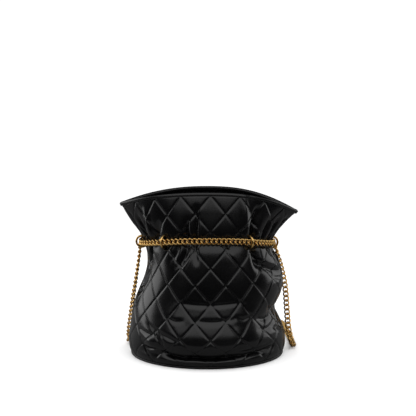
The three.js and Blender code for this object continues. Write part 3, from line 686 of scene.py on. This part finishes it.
def stitch_places(side):
    """The place of each stitch: along its line, across it, and out of the leather."""
    shift = 0 if side == FRONT else PANEL_WIDTH
    start = ((DIAMOND_AT[0] - shift) / DIAMOND_WIDTH) % 1
    across, up, slant = [], [], []
    slope = math.hypot(DIAMOND_WIDTH, DIAMOND_HEIGHT)
    step = STITCH_PITCH / slope
    for sign in (-1, 1):
        for line in range(-12, 13):
            rise = np.arange(-0.1, PANEL_HEIGHT / DIAMOND_HEIGHT + 0.1, step)
            y = rise * DIAMOND_HEIGHT
            x = DIAMOND_WIDTH * (start + line - sign * (y - DIAMOND_AT[1]) / DIAMOND_HEIGHT)
            keep = (np.abs(x) < PANEL_WIDTH / 2 - CLEAR_OF_EDGE) & (y > CLEAR_OF_EDGE)
            keep &= y < PANEL_HEIGHT - CLEAR_OF_TOP
            for slit in SLITS[side]:
                keep &= (np.abs(x - slit) > CLEAR_OF_SLIT[0]) | (np.abs(y - NECK_UP) > CLEAR_OF_SLIT[1])
            across.append(x[keep])
            up.append(y[keep])
            slant.append(np.full(keep.sum(), sign))
    across, up, slant = map(np.concatenate, (across, up, slant))
    reach = 0.6
    dx = -slant * DIAMOND_WIDTH / slope * reach
    dy = DIAMOND_HEIGHT / slope * reach
    place = wall(side, across, up)
    along = unit(wall(side, across + dx, up + dy) - wall(side, across - dx, up - dy))
    out = outward(side, across, up, folded)
    sideways = unit(np.cross(out, along))
    out = np.cross(along, sideways)
    made = np.zeros((len(across), 4, 4))
    made[:, :3, 0], made[:, :3, 1], made[:, :3, 2] = along, sideways, out
    made[:, :3, 3], made[:, 3, 3] = place + STITCH_LIFT * out, 1
    return made


for side, name in ((FRONT, "front"), (BACK, "back")):
    stitches = copies(stitch_shape(), stitch_places(side), f"stitches_{name}")

# %% [markdown]
# ## The mouth
#
# Inside the mouth a strip of smooth leather faces each panel. A narrow binding is folded over the top
# of both layers, all the way round.

# %% Facings
FACING_LOW = 157.0
FACING_GAP = 0.35


def facing(side):
    def place(u, v):
        across = (u - 0.5) * (PANEL_WIDTH - 3)
        up = FACING_LOW + v * (PANEL_HEIGHT - 1 - FACING_LOW)
        return wall(side, across, up, inset=THICKNESS + FACING_GAP, quilted=False)
    return sheet(150, 26, place)


for side, name in ((FRONT, "front"), (BACK, "back")):
    piece = thicken(finish_piece(facing(side), f"mouth_facing_{name}"), 1.0)
    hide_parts(f"facing_{name}")

# %% Rim binding
BINDING_DEEP = 2.7


def mouth_loop(count):
    """Points round the rim, the direction out of the bag, and the direction up the wall."""
    half = count // 2
    points, rises = [], []
    for side in (FRONT, BACK):
        across = (np.arange(half) / half - 0.5) * PANEL_WIDTH
        top = np.full(half, PANEL_HEIGHT)
        points.append(folded(side, across, top))
        rises.append(unit(folded(side, across, top) - folded(side, across, top - 6)))
    points, rises = np.concatenate(points), np.concatenate(rises)
    ahead = unit(np.roll(points, -2, axis=0) - np.roll(points, 2, axis=0))
    out = unit(np.cross(ahead, rises))
    for _ in range(3):
        out = unit(out + np.roll(out, 1, axis=0) + np.roll(out, -1, axis=0))
    return points, out, rises


def rim_binding():
    count = 360
    points, out, rises = mouth_loop(count)
    fold = [(0.9, -1.0), (1.0, -0.5), (0.85, 0.1), (0.3, 0.36), (-1.0, 0.42), (-2.4, 0.36),
            (-3.0, 0.1), (-3.2, -0.5), (-3.1, -1.0)]
    shape = np.array(fold) * (1.0, BINDING_DEEP)

    def place(u, v):
        i = np.round(u * count).astype(int) % count
        k = np.round((1 - v) * (len(shape) - 1)).astype(int)
        return points[i] + out[i] * shape[k, :1] + rises[i] * shape[k, 1:]
    return sheet(count, len(shape) - 1, place, weld=True)


binding = thicken(finish_piece(rim_binding(), "mouth_binding"), 0.5)
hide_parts("rim_binding")

# %% [markdown]
# ## The base
#
# The wall's hem and the base are sewn together round a cord wrapped in leather, the welt. The base
# itself is an oval of leather.

# %% Welt and base
low, high = (np.array(p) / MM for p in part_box("base_welt"))
WELT = 1.5
welt_reach = np.array([89.9, 77.9])


def welt_place(u, v):
    turn, round_wire = 2 * math.pi * u, -2 * math.pi * v
    out = WELT * np.cos(round_wire)
    pucker = 1 + 0.006 * np.sin(150 * turn) * np.cos(round_wire)
    return np.stack([
        (welt_reach[0] + out) * np.cos(turn) * pucker,
        (welt_reach[1] + out) * np.sin(turn) * pucker,
        low[2] + WELT - WELT * np.sin(round_wire),
    ], axis=-1)


welt = finish_piece(sheet(600, 12, welt_place, weld=True), "bottom_welt", recalculate=True)
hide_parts("base_welt")

low, high = (np.array(p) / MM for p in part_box("base_panel"))
bm = bmesh.new()
bmesh.ops.create_circle(bm, cap_ends=True, segments=128, radius=1)
bmesh.ops.scale(bm, vec=((high[0] - low[0]) / 2, (high[1] - low[1]) / 2, 1), verts=bm.verts)
bmesh.ops.translate(bm, vec=(0, 0, low[2]), verts=bm.verts)
raised = bmesh.ops.extrude_face_region(bm, geom=bm.faces[:])["geom"]
raised = [g for g in raised if isinstance(g, bmesh.types.BMVert)]
bmesh.ops.translate(bm, vec=(0, 0, high[2] - low[2]), verts=raised)
bmesh.ops.bevel(
    bm, geom=[e for e in bm.edges if abs(e.verts[0].co.z - e.verts[1].co.z) < 1e-6],
    offset=0.5, segments=2, profile=0.5, affect="EDGES", material=-1,
)
base = finish_piece(bm, "bottom_leather", smooth=False, recalculate=True)
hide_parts("base_panel")

# %% [markdown]
# ## The lining and its pockets
#
# The lining is a loose cloth tube. It hangs straighter than the leather and wrinkles a little where it
# is gathered. A patch pocket with a bound edge is sewn to its front, and a zip is let into its back.

# %% Lining
low, high = (np.array(p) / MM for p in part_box("zip_frame"))
ZIP_HEIGHT = (low[2] + high[2]) / 2
ZIP_OPENING = (52.5, 4.2)  # half of its length and height
LINING_TOP = 163.0
TAB_ROOM = 4.6  # between the leather and the lining
LINING_SIDE = [
    (0, 88, 6.1), (14, 86, 20.1), (54, 82, 53.6), (88, 79, 77.7), (130, 69.5, 115.2),
    (153, 67.5, 134), (163, 69.5, 143),
]
LINING_FACE = [
    (0, 76, 6.1), (14, 62, 17.1), (36, 58, 37.1), (72, 58, 71.4), (108, 58, 102.7),
    (153, 47.5, 142.7), (163, 47.1, 151.7),
]


def lining_point(side, across, up, inset=0.0):
    turn = turn_at(side, across, up)
    cos, sin = np.cos(turn), np.sin(turn)
    ends, face = smooth_line(LINING_SIDE, up), smooth_line(LINING_FACE, up)
    ripple = 0.35 * np.sin(across / 6.1 + 2 * np.sin(up / 31)) * ease((up - 95) / 50)
    push = inset + ripple + (stroke_depth(side, across, up) - TAB_ROOM).clip(0)
    share = np.abs(cos) ** 2.4
    drop = 4.5 * cos**3 * (up / PANEL_HEIGHT) ** 6
    return np.stack([
        (ends[:, 0] - push) * cos, (face[:, 0] - push) * sin,
        ends[:, 1] * share + face[:, 1] * (1 - share) - drop,
    ], axis=-1)


def cut_window(bm, half_length):
    """Cuts the zip's opening out of a sheet."""
    middles = {face: face.calc_center_median() for face in bm.faces}
    window = [
        face for face, at in middles.items()
        if abs(at.x) < half_length and abs(at.z - ZIP_HEIGHT) < ZIP_OPENING[1]
    ]
    bmesh.ops.delete(bm, geom=window, context="FACES")


for side, name in ((FRONT, "front"), (BACK, "back")):
    def place(u, v):
        return lining_point(side, (u - 0.5) * (PANEL_WIDTH - 1), v * LINING_TOP)
    bm = sheet(180, 90, place)
    if side == BACK:
        cut_window(bm, ZIP_OPENING[0])
    cloth = thicken(finish_piece(bm, f"lining_cloth_{name}"), 0.7)
    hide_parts(f"lining_{name}")

# %% Floor of the lining
low, high = (np.array(p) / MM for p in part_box("lining_base"))
reach = (high[:2] - low[:2]) / 2


def floor_place(u, v):
    turn, out = 2 * math.pi * u, v.clip(0.01, 1)
    lift = 0.3 * np.sin(5 * turn) * np.sin(math.pi * out)
    return np.stack([
        reach[0] * out * np.cos(turn), reach[1] * out * np.sin(turn), high[2] + lift,
    ], axis=-1)


cloth = sheet(160, 30, floor_place, weld=True)
bmesh.ops.holes_fill(cloth, edges=cloth.edges[:], sides=200)
cloth = thicken(finish_piece(cloth, "lining_cloth_base", recalculate=True), 0.6)
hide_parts("lining_base")

# %% [markdown]
# The pockets lie on arcs that follow the lining. `on_arc` turns a length along an arc, and a distance
# out from the arc's face, into a place.

# %% Pieces that follow an arc
ZIP_ARC = (-32.9, 89.4, BACK)  # centre, radius of the zip's face, side of the bag
SLIP_ARC = (-25.8, 82.5, FRONT)


def on_arc(arc, along, out, height):
    centre, radius, side = arc
    turn = along / radius
    return np.stack([
        (radius + out) * np.sin(turn), side * (centre + (radius + out) * np.cos(turn)), height,
    ], axis=-1)


def pocket_piece(bm, name, node, thickness=None):
    piece = finish_piece(bm, name, recalculate=True)
    if thickness:
        thicken(piece, thickness)
    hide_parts(node)


# %% Slip pocket
SLIP_HALF, SLIP_LOW, SLIP_TOP, SLIP_DEEP = 51.5, 40.5, 91.4, 2.7


def sag(u, v):
    """How far a pocket's face hangs away from the lining: most at the middle of its open top."""
    return 1.3 * np.sin(math.pi * u) ** 1.5 * v**2 + 0.25 * np.sin(9 * u + 5 * v) * (1 - v)


def slip_place(u, v):
    held = ease(np.minimum(u, 1 - u) / 0.05) * ease(v / 0.07)
    out = -0.5 - (SLIP_DEEP + sag(u, v)) * held
    return on_arc(SLIP_ARC, (2 * u - 1) * SLIP_HALF, out, SLIP_LOW + v * (SLIP_TOP - SLIP_LOW))


pocket_piece(sheet(120, 60, slip_place), "pouch_cloth", "slip_pocket", 0.6)

# %% Bound edge of the slip pocket
BINDING_FOLD = np.array([
    (-0.9, -7.2), (-1.1, -3.6), (-0.9, -0.2), (-0.4, 0.7), (0.5, 0.7), (0.9, -0.2), (1.0, -3.4),
])  # out from the pocket's edge, and up


def binding_place(u, v):
    k = np.round(v * (len(BINDING_FOLD) - 1)).astype(int)
    out, rise = BINDING_FOLD[k].T
    middle = -0.8 - SLIP_DEEP - sag(u, np.ones_like(u))
    return on_arc(SLIP_ARC, (2 * u - 1) * (SLIP_HALF - 3.2), middle + out, SLIP_TOP + rise)


pocket_piece(sheet(100, len(BINDING_FOLD) - 1, binding_place), "pouch_binding",
             "slip_pocket_binding", 0.45)

# %% Zip: tapes and frame
TAPE_REACH, TAPE_HALF_LENGTH = (1.9, 8.8), 55.0
TAPE_RIBS = 7
FRAME_HALF_LENGTH, FRAME_HALF_HEIGHT = 60.0, 10.8

for name, sign in (("upper", 1), ("lower", -1)):
    def tape_place(u, v):
        rib = 0.08 * np.cos(2 * math.pi * v * TAPE_RIBS)
        height = ZIP_HEIGHT + sign * (TAPE_REACH[0] + v * (TAPE_REACH[1] - TAPE_REACH[0]))
        return on_arc(ZIP_ARC, (2 * u - 1) * TAPE_HALF_LENGTH, -0.4 + rib, height)
    pocket_piece(sheet(60, 42, tape_place), f"tape_{name}", f"zip_tape_{name}", 0.4)


def frame_place(u, v):
    """A flat frame, rounded over at its outer edges and at its window."""
    along, rise = (2 * u - 1) * FRAME_HALF_LENGTH, (2 * v - 1) * FRAME_HALF_HEIGHT
    outer = np.minimum(FRAME_HALF_LENGTH - np.abs(along), FRAME_HALF_HEIGHT - np.abs(rise))
    inner = np.maximum(np.abs(along) - ZIP_OPENING[0], np.abs(rise) - ZIP_OPENING[1])
    puffed = 0.7 * ease(outer / 1.6) * ease(inner / 1.6)
    return on_arc(ZIP_ARC, along, -1.1 - puffed, ZIP_HEIGHT + rise)


bm = sheet(150, 54, frame_place)
cut_window(bm, ZIP_OPENING[0] * 0.94)  # the arc brings the ends of the opening closer
pocket_piece(bm, "zip_surround", "zip_frame", 0.6)

# %% Zip: teeth
TOOTH_PITCH = 1.3
TEETH = 79
TOOTH_SIZE = (0.72, 1.4, 1.3)  # along, deep, high


def tooth_shape():
    bm = bmesh.new()
    bmesh.ops.create_cube(bm, size=1)
    bmesh.ops.scale(bm, vec=TOOTH_SIZE, verts=bm.verts)
    bmesh.ops.bevel(bm, geom=bm.edges[:], offset=0.12, segments=1, profile=0.5, affect="EDGES",
                    material=-1)
    return bm


for name, sign in (("upper", 1), ("lower", -1)):
    places = []
    for i in range(TEETH):
        along = (i - TEETH // 2 + 0.25 * sign) * TOOTH_PITCH
        at = on_arc(ZIP_ARC, np.array([along]), np.array([-0.85]), np.array([ZIP_HEIGHT + sign]))[0]
        places.append(Matrix.Translation(at) @ Matrix.Rotation(-along / ZIP_ARC[1], 4, "Z"))
    teeth = copies(tooth_shape(), places, f"teeth_{name}")
    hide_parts(f"zip_teeth_{name}")

# %% Zip: the pocket's bag
BAG_HALF, BAG_OUT = 40.0, 4.6
BAG_LOW, BAG_TALL = -47.6, 55.4  # from the zip down to the foot, and the whole height


def bag_place(u, v):
    """A flat cloth bag, closed at both ends and fullest low down."""
    turn = -2 * math.pi * u
    full = (ease(v / 0.08) * ease((1 - v) / 0.08) * (0.6 + 0.4 * np.sin(math.pi * (1 - v)))).clip(0.1)
    along = BAG_HALF * np.sign(np.cos(turn)) * np.abs(np.cos(turn)) ** 0.5
    out = BAG_OUT + 1.1 * full * np.sign(np.sin(turn)) * np.abs(np.sin(turn)) ** 0.5
    height = ZIP_HEIGHT + BAG_LOW + v * BAG_TALL
    return on_arc(ZIP_ARC, along, out, height)


bm = sheet(120, 40, bag_place, weld=True)
bmesh.ops.holes_fill(bm, edges=[e for e in bm.edges if e.is_boundary], sides=0)
pocket_piece(bm, "pocket_cloth", "zip_pocket_bag")

# %% [markdown]
# ## The rings
#
# Each ring is a round wire bent to a circle. It stands on edge through its slit, and rides on its own
# body, because it can swing.

# %% Rings
RING_MAJOR, RING_WIRE = 6.7, 1.3

for node, degrees in RING_TURNS.items():
    low, high = (Vector(p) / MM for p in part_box(node))
    bm = wire_loop(RING_WIRE, RING_MAJOR, sides=20, steps=64)
    turned = Matrix.Rotation(math.radians(degrees), 3, "Z") @ Matrix.Rotation(math.pi / 2, 3, "X")
    bmesh.ops.rotate(bm, cent=(0, 0, 0), matrix=turned, verts=bm.verts)
    bmesh.ops.translate(bm, vec=(low + high) / 2, verts=bm.verts)
    ring = finish_piece(bm, node + "_wire", body=node, recalculate=True)
    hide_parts(node)

# %% [markdown]
# ## The chain round the neck

# %% Neck chain
CHAIN_STAND_OFF = 3.8
CAD_NECK = (76.0, 56.0)  # half of the neck's width and depth
FRONT_RUN_GAP, BACK_RUN_GAP = 0.01, 0.16  # radians, from a side ring to the end of the run


def neck_line(start, end, count=200):
    turn = np.linspace(start, end, count)
    up = np.full(count, NECK_UP)
    line = oval(up, turn)
    out = unit(np.stack([CAD_NECK[1] * np.cos(turn), CAD_NECK[0] * np.sin(turn), 0 * turn], axis=1))
    base = np.stack([CAD_NECK[0] * np.cos(turn), CAD_NECK[1] * np.sin(turn), line[:, 2]], axis=1)
    return base + out * CHAIN_STAND_OFF, out


front_line, front_out = neck_line(math.pi + FRONT_RUN_GAP, 2 * math.pi - FRONT_RUN_GAP)
back_line, back_out = neck_line(BACK_RUN_GAP, math.pi - BACK_RUN_GAP)
neck_front = chain(front_line, front_out, "neck_chain_front_links")
neck_back = chain(back_line, back_out, "neck_chain_back_links")
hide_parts("neck_chain_front")
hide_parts("neck_chain_back")

# %% [markdown]
# ## Materials
#
# Each effect is its own node group, so that it can be used on another leather or metal: `hide` is the
# pebble of fine leather, `weave` a plain cloth, and `handling` the faint marks on a polished metal.
# Every pattern reads Object coordinates in metres, so it has its real size.

# %% Effects
def effect(name, *outputs):
    """A node group with a place to look at and the outputs asked for."""
    group = bpy.data.node_groups.new(name, "ShaderNodeTree")
    group.interface.new_socket("Place", in_out="INPUT", socket_type="NodeSocketVector")
    for output in outputs:
        group.interface.new_socket(output, in_out="OUTPUT", socket_type="NodeSocketFloat")
    nodes = group.nodes
    return group, nodes.new("NodeGroupInput"), nodes.new("NodeGroupOutput")


def add(tree, kind, links=None, **values):
    """A node with its values set and its inputs linked."""
    node = tree.nodes.new(kind)
    for name, value in values.items():
        if hasattr(node, name):
            setattr(node, name, value)
        else:
            node.inputs[name.replace("_", " ")].default_value = value
    for name, source in (links or {}).items():
        tree.links.new(source, node.inputs[name])
    return node


def hide_effect():
    group, start, end = effect("hide", "Height", "Roughness", "Tone")
    place = start.outputs["Place"]
    pebble = add(group, "ShaderNodeTexVoronoi", {"Vector": place}, Scale=1500.0,
                 feature="SMOOTH_F1")
    pores = add(group, "ShaderNodeTexNoise", {"Vector": place}, Scale=2600.0, Detail=2.0)
    soft = add(group, "ShaderNodeTexNoise", {"Vector": place}, Scale=160.0, Detail=3.0)
    cloud = add(group, "ShaderNodeTexNoise", {"Vector": place}, Scale=28.0, Detail=4.0)
    grain = add(group, "ShaderNodeMath", {
        0: pebble.outputs["Distance"], 1: pores.outputs[0]}, operation="ADD")
    height = add(group, "ShaderNodeMath", {0: soft.outputs[0], 2: grain.outputs[0]},
                 operation="MULTIPLY_ADD")
    height.inputs[1].default_value = 2.2
    rough = add(group, "ShaderNodeMapRange", {"Value": cloud.outputs[0]}, From_Min=0.3,
                From_Max=0.7, To_Min=0.19, To_Max=0.27)
    tone = add(group, "ShaderNodeMapRange", {"Value": cloud.outputs[0]}, To_Min=0.6, To_Max=1.5)
    group.links.new(height.outputs[0], end.inputs["Height"])
    group.links.new(rough.outputs["Result"], end.inputs["Roughness"])
    group.links.new(tone.outputs["Result"], end.inputs["Tone"])
    return group


def weave_effect():
    group, start, end = effect("weave", "Height")
    place = start.outputs["Place"]
    level = add(group, "ShaderNodeTexWave", {"Vector": place}, Scale=900.0, bands_direction="Z")
    along = add(group, "ShaderNodeTexWave", {"Vector": place}, Scale=900.0,
                bands_direction="DIAGONAL")
    both = add(group, "ShaderNodeMath", {0: level.outputs[1], 1: along.outputs[1]},
               operation="MAXIMUM")
    group.links.new(both.outputs[0], end.inputs["Height"])
    return group


def handling_effect():
    group, start, end = effect("handling", "Roughness", "Height", "Tone")
    place = start.outputs["Place"]
    smear = add(group, "ShaderNodeTexNoise", {"Vector": place}, Scale=260.0, Detail=4.0)
    fine = add(group, "ShaderNodeTexNoise", {"Vector": place}, Scale=3000.0, Detail=1.0)
    rough = add(group, "ShaderNodeMapRange", {"Value": smear.outputs[0]}, From_Min=0.3,
                From_Max=0.7, To_Min=0.17, To_Max=0.32)
    tone = add(group, "ShaderNodeMapRange", {"Value": smear.outputs[0]}, To_Min=0.9, To_Max=1.08)
    group.links.new(rough.outputs["Result"], end.inputs["Roughness"])
    group.links.new(fine.outputs[0], end.inputs["Height"])
    group.links.new(tone.outputs["Result"], end.inputs["Tone"])
    return group


HIDE, WEAVE, HANDLING = hide_effect(), weave_effect(), handling_effect()


# %% From an effect to a material
def material(name, colour, group, depth, metallic=0.0, roughness=None):
    made = bpy.data.materials.new(name)
    made.use_nodes = True
    tree = made.node_tree
    shader = tree.nodes["Principled BSDF"]
    shader.inputs["Metallic"].default_value = metallic
    shader.inputs["Base Color"].default_value = (*colour, 1)
    made.diffuse_color = (*colour, 1)
    spot = add(tree, "ShaderNodeTexCoord")
    look = tree.nodes.new("ShaderNodeGroup")
    look.node_tree = group
    tree.links.new(spot.outputs["Object"], look.inputs["Place"])
    bump = add(tree, "ShaderNodeBump", {"Height": look.outputs["Height"]}, Distance=depth * MM,
               Strength=1.0)
    tree.links.new(bump.outputs["Normal"], shader.inputs["Normal"])
    if roughness is not None:
        shader.inputs["Roughness"].default_value = roughness
    elif "Roughness" in look.outputs:
        tree.links.new(look.outputs["Roughness"], shader.inputs["Roughness"])
    if "Tone" in look.outputs:
        mix = add(tree, "ShaderNodeVectorMath", {1: look.outputs["Tone"]}, operation="MULTIPLY")
        mix.inputs[0].default_value = colour
        tree.links.new(mix.outputs[0], shader.inputs["Base Color"])
    return made


BLACK = (0.0012, 0.0012, 0.0014)
LOOKS = {
    "leather": material("lambskin", BLACK, HIDE, 0.012),
    "smooth": material("smooth_leather", BLACK, HIDE, 0.006, roughness=0.26),
    "lining": material("lining_cloth", (0.012, 0.012, 0.014), WEAVE, 0.05, roughness=0.75),
    "tape": material("zip_tape", (0.006, 0.006, 0.007), WEAVE, 0.06, roughness=0.7),
    "thread": material("thread", (0.002, 0.002, 0.0022), HIDE, 0.02, roughness=0.5),
    "board": material("board", (0.35, 0.3, 0.22), WEAVE, 0.02, roughness=0.8),
    "gold": material("gold_plate", (0.88, 0.56, 0.2), HANDLING, 0.004, metallic=1.0),
}
SLOT_LOOKS = {
    "leather": "leather", "smooth_leather": "smooth", "wadding": "lining", "lining": "lining",
    "board": "board", "gold": "gold",
}


def dress(piece, look):
    piece.data.materials.clear()
    piece.data.materials.append(LOOKS[look])


slots = {part["node"]: part["material_slot"] for part in frame["record"]["subparts"]}
for name, node in frame["nodes"].items():
    dress(node, "tape" if name.startswith("zip_tape") else SLOT_LOOKS[slots[name]])
PIECE_LOOKS = {
    "quilted": "leather", "stitches": "thread", "mouth": "smooth", "bottom_welt": "smooth",
    "bottom_leather": "leather", "lining_cloth": "lining", "ring": "gold", "neck_chain": "gold",
    "shoulder_chain": "gold", "pouch_cloth": "lining", "pouch_binding": "smooth", "tape": "tape",
    "zip_surround": "smooth", "teeth": "gold", "pocket_cloth": "lining",
}
for piece in bpy.data.objects:
    for start, look in PIECE_LOOKS.items():
        if piece.type == "MESH" and not piece.data.materials and piece.name.startswith(start):
            dress(piece, look)
print("materials:", len(LOOKS))

# %% [markdown]
# ## Studio

# %% Floor and lights
bm = bmesh.new()
bmesh.ops.create_grid(bm, x_segments=1, y_segments=1, size=1.2)
bmesh.ops.translate(bm, vec=(0, 0.87, 0), verts=bm.verts)
floor_mesh = bpy.data.meshes.new("floor")
bm.to_mesh(floor_mesh)
bm.free()
floor = bpy.data.objects.new("floor", floor_mesh)
bpy.context.scene.collection.objects.link(floor)


# Seen in glossy reflections, the floor's colour drops to a dark grey. This is painted shade in what the
# leather and the gold reflect of the floor. Seen directly and by diffuse light, the floor stays white.
FLOOR_TONE, FLOOR_SHADE_IN_REFLECTIONS = 0.9, 0.13
white = bpy.data.materials.new("floor")
white.use_nodes = True
tree = white.node_tree
shader = tree.nodes["Principled BSDF"]
shader.inputs["Roughness"].default_value = 0.9
ray = add(tree, "ShaderNodeLightPath")
tone = add(tree, "ShaderNodeMapRange", {"Value": ray.outputs["Is Glossy Ray"]}, To_Min=FLOOR_TONE,
           To_Max=FLOOR_SHADE_IN_REFLECTIONS)
tree.links.new(tone.outputs["Result"], shader.inputs["Base Color"])
floor.data.materials.append(white)


def softbox(name, place, target, size, power):
    data = bpy.data.lights.new(name, "AREA")
    data.shape = "RECTANGLE"
    data.size, data.size_y = size
    data.energy = power
    light = bpy.data.objects.new(name, data)
    light.location = place
    light.rotation_euler = (Vector(target) - Vector(place)).to_track_quat("-Z", "Y").to_euler()
    bpy.context.scene.collection.objects.link(light)


softbox("top", (0, -1.65, 2.35), (0, -0.43, 0), (6.0, 3.0), 58)
softbox("left", (-1.1, 0.3, 0.5), (0, 0, 0.12), (0.9, 0.9), 5)
softbox("right", (1.1, 0.3, 0.5), (0, 0, 0.12), (0.9, 0.9), 3.5)

WORLD_BRIGHT, WORLD_IN_GLOSS = 1.1, 0.015
world = bpy.data.worlds.new("studio")
world.use_nodes = True
tree = world.node_tree
ray = add(tree, "ShaderNodeLightPath")
bright = add(tree, "ShaderNodeMath", {
    0: ray.outputs["Is Camera Ray"], 1: ray.outputs["Is Diffuse Ray"]}, operation="MAXIMUM")
level = add(tree, "ShaderNodeMapRange", {"Value": bright.outputs[0]}, To_Min=WORLD_IN_GLOSS,
            To_Max=WORLD_BRIGHT)
tree.nodes["Background"].inputs["Color"].default_value = (1, 1, 1, 1)
tree.links.new(level.outputs["Result"], tree.nodes["Background"].inputs["Strength"])
bpy.context.scene.world = world
bpy.context.scene.view_settings.view_transform = "Standard"
